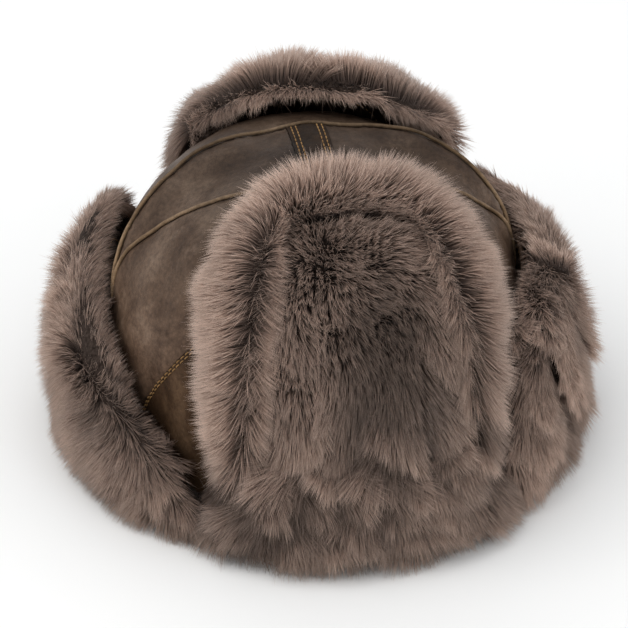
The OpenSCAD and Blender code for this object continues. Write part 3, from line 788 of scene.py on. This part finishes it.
def build_flap_leather(flap):
    """A flap's leather side, which faces the crown while the flap is up, with its bound edge."""
    v, u = np.meshgrid(np.linspace(0, 1, 70), np.linspace(-1, 1, 80), indexing="ij")
    wave = (0.5 * MM * noise(flap.pt(u, v, FLAP_GAP), 18 * MM, 41)
            + 0.2 * MM * noise(flap.pt(u, v, 0), 6 * MM, 43))
    grow = FUR_GROW[flap] - LEATHER_SHORT[flap]
    outer = flap.pt(u, v, FLAP_GAP + LEATHER + lip(flap, u, v) + wave, grow)
    inner = flap.pt(u, v, FLAP_GAP + lip(flap, u, v) + wave, grow)
    obj = sharpen(sheet_solid(f"{flap.name}_leather", outer, inner))
    finish_piece(obj, None, FLAP_SKIN, [f"{flap.name}_leather", f"{flap.name}_interlining"])
    fold_blend(obj)

    side = np.linspace(0.02, 1, 60)
    across = np.linspace(-1, 1, 80)[1:-1]
    path_u = np.concatenate([-np.ones(60), across, np.ones(60)])
    path_v = np.concatenate([side, np.ones(78), side[::-1]])
    line = flap.pt(path_u, path_v, FLAP_GAP + LEATHER / 2 + lip(flap, path_u, path_v), grow + 0.8 * MM)
    obj = tubes(f"{flap.name}_binding", [line], EDGE_RADIUS, 10)
    finish_piece(obj, None, FLAP_SKIN, [f"{flap.name}_binding"])
    fold_blend(obj)

    u0, v0 = path_u * 0.93, path_v * 0.965
    under = flap.pt(u0, v0, FLAP_GAP - 0.1 * MM + lip(flap, u0, v0), grow)
    obj = tubes(f"{flap.name}_stitching", stitch_row(under, 3.0 * MM, 1.4 * MM, -0.25 * MM), 0.33 * MM)
    finish_piece(obj, None, THREAD)
    fold_blend(obj)
    repaint(f"{flap.name.replace('_flap', '')}_snap_socket", BRASS)


# ----------------------------------------
# Fur. Each flap has a stuffed skin, the underfur, and hairs that stand on it.
# ----------------------------------------
# How far the fur reaches past a flap's outline, all round and at its two sides, and how long its hairs are
FUR_GROW = {BROW: 4 * MM, NAPE: 3 * MM, LEFT_EAR: 5 * MM, RIGHT_EAR: 5 * MM}
FUR_SIDES = {BROW: (0, 7 * MM), NAPE: (2 * MM, 14 * MM), LEFT_EAR: (10 * MM, 0), RIGHT_EAR: (14 * MM, 0)}
HAIR = {BROW: 20 * MM, NAPE: 19 * MM, LEFT_EAR: 18 * MM, RIGHT_EAR: 18 * MM}
RIM_START = 0.84


def ring_of(u, v):
    """0 at a flap's middle, 1 at its rim, along rounded rectangles."""
    w = 2 * v - 1
    return (np.abs(u) ** 4 + np.abs(w) ** 4) ** 0.25


def upper(v):
    """1 where the brow flap has its rolled rim, 0 near its fold."""
    return smooth(v, 0.48, 0.72)


def groove(u, v):
    """1 in the crease between the brow flap's rolled rim and its inner field, 0 away from it."""
    return np.exp(-((ring_of(u, v) - RIM_START) / 0.05) ** 2) * upper(v) * (1 - 0.55 * smooth(u, 0.3, 0.8))


def roundness(u, v):
    """Rounded profile of a flap's stuffed fur: 1 in the middle, 0 at the rim."""
    w = 2 * v - 1
    power = np.where(w < 0, 12.0, 6.0)
    return np.sqrt(np.maximum(1 - np.abs(u) ** 9, 0)) * np.sqrt(np.maximum(1 - np.abs(w) ** power, 0))


TUFT_SIZE = 26 * MM
ACROSS = {BROW: 62 * MM, NAPE: 66 * MM, LEFT_EAR: 105 * MM, RIGHT_EAR: 105 * MM}
UP = {BROW: 195 * MM, NAPE: 190 * MM, LEFT_EAR: 85 * MM, RIGHT_EAR: 70 * MM}


def tuft_centres(flap):
    """Middles of a flap's big tufts, on a jittered grid over its (across, up) plane."""
    rng = np.random.default_rng(len(flap.name) * 7 + int(flap.out.sum()))
    a, b = np.meshgrid(np.arange(-ACROSS[flap], ACROSS[flap] + TUFT_SIZE, TUFT_SIZE),
                       np.arange(0, UP[flap] + TUFT_SIZE, TUFT_SIZE * 0.85))
    grid = np.stack([a.ravel(), b.ravel()], -1)
    return grid + rng.uniform(-0.42, 0.42, grid.shape) * TUFT_SIZE


def big_tufts(flap, u, v):
    """Where each point is in its tuft, in tuft sizes along (side, out of the tip), which way that tuft is
    combed, as the two axes' directions over (across, up), and how strong the tufts are there."""
    here = np.stack([u * ACROSS[flap], v * UP[flap]], -1)
    centres = tuft_centres(flap)
    turns = np.random.default_rng(len(centres)).uniform(-1.15, 1.15, len(centres))
    best = np.full(u.shape, np.inf)
    offset = np.zeros(here.shape)
    turn = np.zeros(u.shape)
    for centre, angle in zip(centres, turns):
        away = (here - centre) / TUFT_SIZE
        distance = (away ** 2).sum(-1)
        nearer = distance < best
        best = np.where(nearer, distance, best)
        offset = np.where(nearer[..., None], away, offset)
        turn = np.where(nearer, angle, turn)
    side = np.stack([np.cos(turn), np.sin(turn)], -1)
    down = np.stack([np.sin(turn), -np.cos(turn)], -1)
    offset = np.stack([(offset * side).sum(-1), (offset * down).sum(-1)], -1)
    if flap is BROW:
        right = 0.7 * smooth(u, 0.35, 0.8) * smooth(1 - v, 0.10, 0.28)
        strength = np.clip(smooth(1 - v, 0.26, 0.40) + right, 0, 1)
    elif flap is NAPE:
        strength = 0.55 + 0 * u
    elif flap is LEFT_EAR:
        strength = 0.25 + 0.65 * smooth(-u, -0.1, 0.5)
    else:
        strength = 0.15 + 0.55 * smooth(-u, 0.55, 0.95)
    return offset, side, down, strength


def skin_depth(flap, u, v):
    """Depth of the fur's skin outside its backing. The sum is in mm until the last line."""
    w = 2 * v - 1
    offset, _, _, strength = big_tufts(flap, u, v)
    rise = 9.5 * np.clip(offset[..., 1], -0.55, 0.55)
    fall = 5.0 * np.minimum(offset[..., 0] ** 2 * 1.8, 0.6)
    lump = strength * (rise - fall)
    if flap is BROW:
        rim = smooth(ring_of(u, v), RIM_START, RIM_START + 0.08) * upper(v)
        cushion = 5.0 * np.exp(-(u / 0.55) ** 2 - ((v - 0.75) / 0.13) ** 2) + 5.0 * (1 - upper(v))
        depth = lerp(9.5 + cushion, 17.0, rim) + 3.5 * smooth(1 - v, 0.45, 0.95) - 5.0 * groove(u, v)
    elif flap is NAPE:
        depth = 15.0 - 6.0 * smooth(v, 0.55, 0.92) * (1 - np.abs(u) ** 4)
    else:
        depth = 11.5 + 4.0 * smooth(-u, 0.3, 0.95) + 1.0 * w
        if flap is LEFT_EAR:
            full = 5.5 * np.exp(-((u + 0.15) / 0.45) ** 2)
            thin = 6.0 * smooth(u, 0.25, 0.65) * smooth(w, 0.0, 0.6)
            depth = depth + full - thin
    return (depth + lump) * MM * roundness(u, v)


def skin_pt(flap, u, v, widened=1.0):
    """The skin that the hairs stand on. widened scales how far its sides go past the flap's outline."""
    backing = FUR_IN + lip(flap, u, v) * 0.9
    sides = [widened * s for s in FUR_SIDES[flap]]
    return flap.pt(u, v, backing + skin_depth(flap, u, v), FUR_GROW[flap], sides)


def build_skin(flap):
    """The dark, dense underfur: a stuffed form that the hairs stand on."""
    a = np.linspace(-np.pi / 2, np.pi / 2, 90)
    v, u = np.meshgrid((np.sin(a) + 1) / 2, np.sin(a), indexing="ij")
    widened = 1.0 if flap is NAPE else 0.0      # the other three would touch their neighbours
    outer = skin_pt(flap, u, v, widened)
    rough = 0.7 * MM * noise(outer, 4 * MM, 51)
    outer = outer + flap.out * (rough * roundness(u, v))[..., None]
    tucked = 4.0 * MM * np.maximum(smooth(np.abs(u), 0.82, 1), 0)
    inner = flap.pt(u, v, FUR_IN - 1.5 * MM - tucked + lip(flap, u, v) * 0.9, FUR_GROW[flap] - 0.5 * MM,
                    [widened * s for s in FUR_SIDES[flap]])
    obj = sheet_solid(f"{flap.name}_underfur", outer, inner)
    finish_piece(obj, None, UNDERFUR, [f"{flap.name}_fur"])
    fold_blend(obj)


def scatter(flap, density, rng):
    """Random roots, evenly spread over the skin: u, v, place, outward normal, directions of u and v."""
    steps = 140
    edge = np.sin(np.linspace(-np.pi / 2, np.pi / 2, steps + 1)) * 0.9995
    v, u = np.meshgrid((edge + 1) / 2, edge, indexing="ij")
    p = skin_pt(flap, u, v)
    d1, d2 = p[1:, 1:] - p[:-1, :-1], p[1:, :-1] - p[:-1, 1:]
    area = np.linalg.norm(np.cross(d1, d2), axis=-1) / 2
    count = int(area.sum() * density)
    cell = rng.choice(area.size, count, p=(area / area.sum()).ravel())
    i, j = np.divmod(cell, steps)
    ui = lerp(edge[j], edge[j + 1], rng.random(count))
    vi = (lerp(edge[i], edge[i + 1], rng.random(count)) + 1) / 2
    e = 1e-4
    place = skin_pt(flap, ui, vi)
    du = skin_pt(flap, ui + e, vi) - skin_pt(flap, ui - e, vi)
    dv = skin_pt(flap, ui, vi + e) - skin_pt(flap, ui, vi - e)
    normal = unit(np.cross(du, dv))
    flip = np.sign((normal * flap.out).sum(-1) + 0.3 * (normal * unit(place)).sum(-1))
    return ui, vi, place, normal * flip[:, None], unit(du), unit(dv)


def ear_front(u, w):
    """1 on the patch of an ear flap whose hairs stand straight at whoever faces the hat."""
    return np.exp(-((u + 0.50) / 0.28) ** 2 - ((w - 0.50) / 0.42) ** 2)


def overhang(flap, u, v):
    """How far the hairs at a flap's free edge lean over it, towards the crown."""
    if flap is BROW:
        return 0 * u
    if flap is NAPE:
        return 0.35 * smooth(v, 0.80, 0.96)
    return 1.3 * smooth(v, 0.74, 0.99)


def comb(flap, u, v, place, normal, along_u, along_v):
    """Direction in which each hair leaves the skin."""
    w = 2 * v - 1
    ring = ring_of(u, v)
    if flap is BROW:
        rim = smooth(ring, RIM_START - 0.03, RIM_START + 0.03) * upper(v)
        sides = smooth(np.abs(u), 0.55, 1.0)
        lean = lerp(0.20 + 0.45 * sides + 0.35 * smooth(1 - v, 0.45, 0.9), 0.95, rim)
        toward = lerp(np.stack([0.5 * u + u * sides, -1 + 0 * w], -1), np.stack([u, w], -1), rim[:, None])
    elif flap is NAPE:
        lean = 0.30 + 0.55 * smooth(ring, 0.5, 0.95)
        toward = np.stack([u, lerp(w, -0.7, smooth(w, 0.3, 0.9))], -1)
    else:
        edge = smooth(w, 0.72, 0.92)
        facing = ear_front(u, w)
        lean = lerp(0.30 + 0.45 * smooth(ring, 0.4, 0.95), 0.55, facing) + 0.7 * edge
        toward = lerp(np.stack([u * 0.8, w - 0.2], -1), np.array([-1.0, 0.5]), facing[:, None])
        toward = lerp(toward, np.array([0.6, 0.5]), edge[:, None])
    offset, aside, down, strength = big_tufts(flap, u, v)
    fan = aside * (1.5 * offset[:, :1]) + down * 1.35
    toward = unit(toward + 1e-6) * (lean * (1 - 0.5 * strength))[:, None] + fan * strength[:, None]
    flow = along_u * toward[:, :1] + along_v * toward[:, 1:]
    wander = (0.34 * noise3(place, 30 * MM, 61) + 0.26 * noise3(place, 11 * MM, 67)
              + 0.14 * noise3(place, 4 * MM, 71))
    inward = -flap.out * (overhang(flap, u, v) * (1 + 0.7 * noise(place, 1.5 * MM, 97)))[:, None]
    return unit(normal + flow + wander + inward)


def gather_tips(place, size, rng):
    """Offset that draws each hair's tip towards the middle of its small tuft."""
    warp = place + 0.6 * size * noise3(place, 3 * size, 91)
    key = np.floor(warp / size + 500).astype(np.int64)
    code = (key[:, 0] * 2000 + key[:, 1]) * 2000 + key[:, 2]
    _, tuft = np.unique(code, return_inverse=True)
    weight = np.bincount(tuft)
    middle = np.stack([np.bincount(tuft, place[:, k]) / weight for k in range(3)], -1)
    tone = rng.normal(0, 1, len(weight))
    return middle[tuft] - place, tone[tuft]


SIDES = 3
RINGS = (0.0, 0.52)     # a hair's rings of points, as shares of its length, and their shares of its radius
WIDTHS = (0.9, 0.85)
PER_HAIR = SIDES * len(RINGS) + 1
SAG, SAG_SPREAD, CURL = 0.14, 0.12, 0.07
FLOOR_GAP = 0.6 * MM


def hair_faces():
    """One hair's triangles, by the numbers of its points."""
    faces = []
    for k in range(len(RINGS) - 1):
        for j in range(SIDES):
            a, b = k * SIDES + j, k * SIDES + (j + 1) % SIDES
            faces += [(a, b, b + SIDES), (a, b + SIDES, a + SIDES)]
    last = (len(RINGS) - 1) * SIDES
    faces += [(last + j, last + (j + 1) % SIDES, last + SIDES) for j in range(SIDES)]
    return np.array(faces)


def hairs(name, place, direction, length, radius, tone, pull, rng):
    """Tapered three-sided hairs, bent by gravity and drawn together in tufts."""
    count = len(place)
    sag = np.array([0, 0, -1.0]) * ((SAG + SAG_SPREAD * rng.random(count)) * length)[:, None]
    curl = rng.normal(0, CURL, (count, 3)) * length[:, None]
    path = []
    for s in (*RINGS, 1.0):
        p = place + direction * (length * s)[:, None] + (sag + curl) * s * s + pull * s
        p[:, 2] = np.maximum(p[:, 2], FLOOR_GAP)
        path.append(p)
    side = unit(np.cross(direction, rng.normal(0, 1, (count, 3))))
    other = np.cross(direction, side)
    verts = np.empty((count, PER_HAIR, 3))
    uv = np.empty((count, PER_HAIR, 2))
    uv[..., 1] = tone[:, None]
    for k, (s, width) in enumerate(zip(RINGS, WIDTHS)):
        for j in range(SIDES):
            a = 2 * np.pi * j / SIDES
            ring = (side * math.cos(a) + other * math.sin(a)) * (radius * width)[:, None]
            verts[:, k * SIDES + j] = path[k] + ring
            uv[:, k * SIDES + j, 0] = 0.01 + 0.98 * s
            uv[:, k * SIDES + j, 1] += (j - 1) * 0.004
    verts[:, -1] = path[-1]
    uv[:, -1, 0] = 0.99
    faces = (hair_faces()[None] + (np.arange(count) * PER_HAIR)[:, None, None]).reshape(-1, 3)
    obj = mesh_object(name, verts.reshape(-1, 3), faces, np.clip(uv.reshape(-1, 2), 0.005, 0.995))
    finish_piece(obj, None, FUR)
    fold_blend(obj)


def inner_edge_hairs(flap, density, rng):
    """Roots on the nape flap's inner face, beyond its leather, whose hairs lie over the leather's lip."""
    count = int(190 * MM * 60 * MM * density)
    u, v = rng.uniform(-1, 1, count), rng.uniform(0.72, 1.0, count)
    keep = v > lerp(0.955, 0.72, smooth(np.abs(u - 0.05), 0.45, 0.80))
    u, v = u[keep], v[keep]
    grow, sides = FUR_GROW[flap], FUR_SIDES[flap]
    spot = lambda a, b: flap.pt(a, b, FUR_IN - 1.5 * MM + lip(flap, a, b), grow, sides)
    e = 1e-3
    along_u = unit(spot(u + e, v) - spot(u - e, v))
    along_v = unit(spot(u, v + e) - spot(u, v - e))
    place = spot(u, v)
    reach = rng.random(count)[:len(u), None]
    direction = (along_v * 0.9 - flap.out * (1.15 * reach - 0.1) + along_u * (0.45 * u)[:, None]
                 + [0, 0, 0.2] + 0.4 * noise3(place, 11 * MM, 61) + 0.15 * noise3(place, 4 * MM, 71))
    return u, v, place, unit(direction)


HAIRS_PER_PIECE = 20000
DENSITY = 2.3e6     # hairs on a square metre
SMALL_TUFT = 3.4 * MM
TUFT_PULL = 0.55
ROOT_DEPTH = 1.0 * MM


def build_fur(flap, seed):
    """A flap's hairs, in several pieces so that none is too heavy."""
    rng = np.random.default_rng(seed)
    u, v, place, normal, along_u, along_v = scatter(flap, DENSITY, rng)
    direction = comb(flap, u, v, place, normal, along_u, along_v)
    if flap is NAPE:
        more = inner_edge_hairs(flap, DENSITY, rng)
        pairs = zip((u, v, place, direction, normal), (*more, more[-1]))
        u, v, place, direction, normal = map(np.concatenate, pairs)
    count = len(place)
    length = HAIR[flap] * (0.90 + 0.16 * rng.random(count) + 0.10 * noise(place, 12 * MM, 77))
    pull, tuft_tone = gather_tips(place, SMALL_TUFT, rng)
    tone = (0.50 + 0.10 * noise(place, 34 * MM, 81) + 0.10 * noise(place, 8 * MM, 83)
            + 0.05 * tuft_tone + 0.10 * rng.normal(0, 1, count))
    if flap is BROW:
        field = (1 - smooth(ring_of(u, v), RIM_START - 0.08, RIM_START + 0.02)) * upper(v)
        middle = np.exp(-((u - 0.22) / 0.42) ** 2 - ((v - 0.73) / 0.12) ** 2)
        rim = smooth(ring_of(u, v), RIM_START, RIM_START + 0.06) * upper(v)
        length = length * (1 - 0.34 * field)
        # Painted light and shade in the tone: the inner field and its middle are darker (painted shade of
        # the pile seen end-on), and the crease is darker (painted shade). The rolled rim is lighter, most on
        # the -X side towards the key light (painted light), and the low part is darker (painted shade).
        tone = (tone - 0.04 * field - 0.52 * middle - 0.22 * groove(u, v)
                + 0.26 * rim * (1 - 0.7 * smooth(u, 0.2, 0.9)) - 0.32 * smooth(1 - v, 0.36, 0.56))
    elif flap is NAPE:
        tone = tone + 0.14 * smooth(v, 0.6, 0.9)
    else:
        w = 2 * v - 1
        length = length * (1 - 0.25 * smooth(w, 0.72, 0.92)) * (1 - 0.30 * ear_front(u, w))
        # Painted shade in the tone: the right ear's patch seen end-on is darker, and the lower part of both
        # ears is darker.
        tone = tone - 0.38 * ear_front(u, w) * (flap is RIGHT_EAR) - 0.14 * smooth(-w, 0.2, 0.8)
    # Painted light and shade in the tone: each big tuft is lighter towards its lower end, and darker at its
    # upper end under the ledge of the tuft above and at its sides.
    offset, _, _, strength = big_tufts(flap, u, v)
    tone = tone + strength * (0.62 * offset[:, 1] - 0.26 * np.minimum(np.abs(offset[:, 0]) * 2, 1) ** 3)
    tone = np.clip(tone, 0.02, 0.98)
    radius = (0.15 + 0.06 * rng.random(count)) * MM * 1.0
    order = np.argsort(np.arctan2(place[:, 0], place[:, 1]) + 0.02 * rng.random(count))
    pieces = max(1, math.ceil(count / HAIRS_PER_PIECE))
    for k, part in enumerate(np.array_split(order, pieces)):
        hairs(f"{flap.name}_fur_{k + 1:02d}", place[part] - normal[part] * ROOT_DEPTH, direction[part],
              length[part], radius[part], tone[part], pull[part] * TUFT_PULL, rng)


# ----------------------------------------
# Camera, lights and floor
# ----------------------------------------
LAMP_AIM = (0, 0, 0.06)
FIRST_SEED = 100


def build_stage():
    scene = bpy.context.scene
    scene.view_settings.view_transform = "Standard"
    azimuth, elevation, distance = math.radians(-9), math.radians(30), 2.0
    target = Vector((0.0, 0.0, 0.0572))
    back = Vector((math.sin(azimuth) * math.cos(elevation), -math.cos(azimuth) * math.cos(elevation),
                   math.sin(elevation)))
    data = bpy.data.cameras.new("camera")
    camera = bpy.data.objects.new("camera", data)
    scene.collection.objects.link(camera)
    camera.location = target + back * distance
    camera.rotation_euler = (-back).to_track_quat("-Z", "Y").to_euler()
    data.sensor_width = 36
    data.lens = 229
    data.clip_end = 50
    scene.camera = camera

    floor = Nodes("floor", roughness=0.85, specular=0.1)
    grain = floor.ramp(floor.noise(3, 2), [(0.3, (0.90, 0.895, 0.885)), (0.7, (0.92, 0.915, 0.905))])
    mesh = bpy.data.meshes.new("floor")
    size = 6.0
    corners = [(-size, -size, 0), (size, -size, 0), (size, size, 0), (-size, size, 0)]
    mesh.from_pydata(corners, [], [(0, 1, 2, 3)])
    plane = bpy.data.objects.new("floor", mesh)
    plane.data.materials.append(floor.paint(grain))
    scene.collection.objects.link(plane)

    world = bpy.data.worlds.new("world")
    scene.world = world
    world.use_nodes = True
    sky = world.node_tree.nodes["Background"]
    sky.inputs["Color"].default_value = (0.96, 0.98, 1.0, 1)
    sky.inputs["Strength"].default_value = 0.84

    def area(name, where, size, power, colour):
        light = bpy.data.lights.new(name, "AREA")
        light.shape = "RECTANGLE"
        light.size, light.size_y = size
        light.energy = power
        light.color = colour
        obj = bpy.data.objects.new(name, light)
        obj.location = where
        obj.rotation_euler = (Vector(LAMP_AIM) - Vector(where)).to_track_quat("-Z", "Y").to_euler()
        scene.collection.objects.link(obj)

    area("key", (-0.9, -0.35, 1.55), (1.6, 1.6), 12.5, (1.0, 0.985, 0.965))
    area("fill", (1.3, -1.3, 1.1), (1.4, 1.2), 4.6, (1.0, 0.98, 0.97))
    area("back", (0.2, 1.5, 1.3), (1.6, 1.0), 4, (0.97, 0.98, 1.0))


build_stage()
build_crown()
build_inside()
for number, flap in enumerate((BROW, NAPE, LEFT_EAR, RIGHT_EAR)):
    build_flap_leather(flap)
    build_skin(flap)
    build_fur(flap, FIRST_SEED + number)
